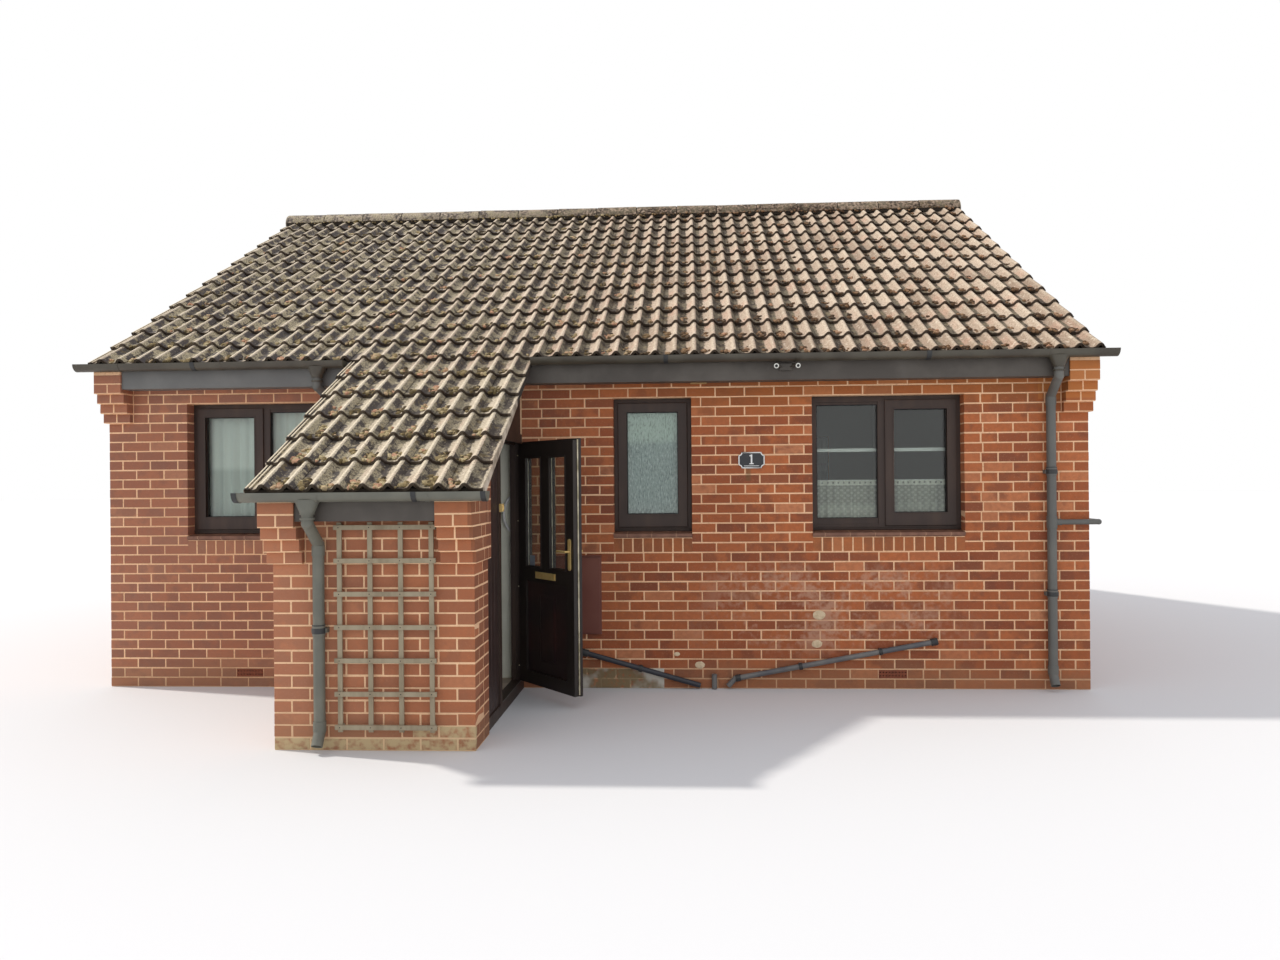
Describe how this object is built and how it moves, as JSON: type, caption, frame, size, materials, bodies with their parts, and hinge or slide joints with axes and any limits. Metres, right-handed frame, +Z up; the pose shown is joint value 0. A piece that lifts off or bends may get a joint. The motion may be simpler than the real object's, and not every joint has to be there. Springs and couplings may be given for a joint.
{
  "type": "bungalow",
  "caption": "Brick bungalow with a tiled gable roof that sweeps down over an entrance porch, and a side door that opens.",
  "frame": {"origin": "ground level at the middle of the main house, on the underside of the floor slab", "axes": "+X to the right of someone who faces the front, +Y from the front to the back, +Z up"},
  "size_m": [7.896, 9.291, 4.7736],
  "materials": {
    "concrete": "rough grey concrete",
    "brick": "rough red multi brick with buff mortar",
    "white_lining": "smooth off-white",
    "roof_tile": "weathered brown concrete tile",
    "cement": "trowelled cement",
    "fascia_board": "dark grey paint",
    "gutter_plastic": "weathered dark grey",
    "brown_timber": "dark brown stain",
    "clear_glass": "clear",
    "sill_tile": "dull red tile",
    "red_boarding": "red-brown paint",
    "brass_fitting": "worn brass",
    "weathered_wood": "weathered, unpainted",
    "meter_plastic": "red-brown, dull",
    "plaque_enamel": "dark paint",
    "white_plastic": "white"
  },
  "bodies": {
    "house": {"floor_slab": "concrete", "porch_floor": "concrete", "front_wall_left": "brick", "front_wall_right": "brick", "wall_over_hall": "brick", "gable_wall_left": "brick", "gable_wall_right": "brick", "rear_wall": "brick", "porch_front_wall": "brick", "porch_side_wall": "brick", "porch_return": "brick", "porch_lining": "white_lining", "roof_front": "roof_tile", "roof_rear": "roof_tile", "roof_porch": "roof_tile", "ridge_tiles": "roof_tile", "verge_undercloaks": "cement", "fascia_left": "fascia_board", "fascia_right": "fascia_board", "fascia_porch": "fascia_board", "fascia_rear": "fascia_board", "gutter_left": "gutter_plastic", "gutter_right": "gutter_plastic", "gutter_porch": "gutter_plastic", "gutter_rear_left": "gutter_plastic", "gutter_rear_right": "gutter_plastic", "downpipe_left": "gutter_plastic", "downpipe_right": "gutter_plastic", "downpipe_porch": "gutter_plastic", "downpipe_rear": "gutter_plastic", "window_left": "brown_timber", "window_small": "brown_timber", "window_right": "brown_timber", "rear_windows": "brown_timber", "front_glass": "clear_glass", "rear_glass": "clear_glass", "front_sills": "sill_tile", "rear_sills": "sill_tile", "door_frame": "brown_timber", "side_panel": "red_boarding", "spandrel_panel": "red_boarding", "hinge_frame_halves": "brass_fitting", "trellis": "weathered_wood", "meter_box": "meter_plastic", "number_plaque": "plaque_enamel", "eaves_lamp": "white_plastic", "waste_pipes": "gutter_plastic", "air_bricks": "brick", "grab_rail": "white_plastic"},
    "front_door": {"door_leaf": "brown_timber", "door_lights": "clear_glass", "door_panel": "brown_timber", "door_handles": "brass_fitting", "letter_plate": "brass_fitting", "hinge_leaf_halves": "brass_fitting"}
  },
  "joints": [
    {"name": "front_door_hinge", "type": "hinge", "parent": "house", "child": "front_door", "pos_m": [-0.462, -3.596, 0.9925], "axis": [0, 0, 1], "range_deg": [-41.5, 48.5]}
  ]
}
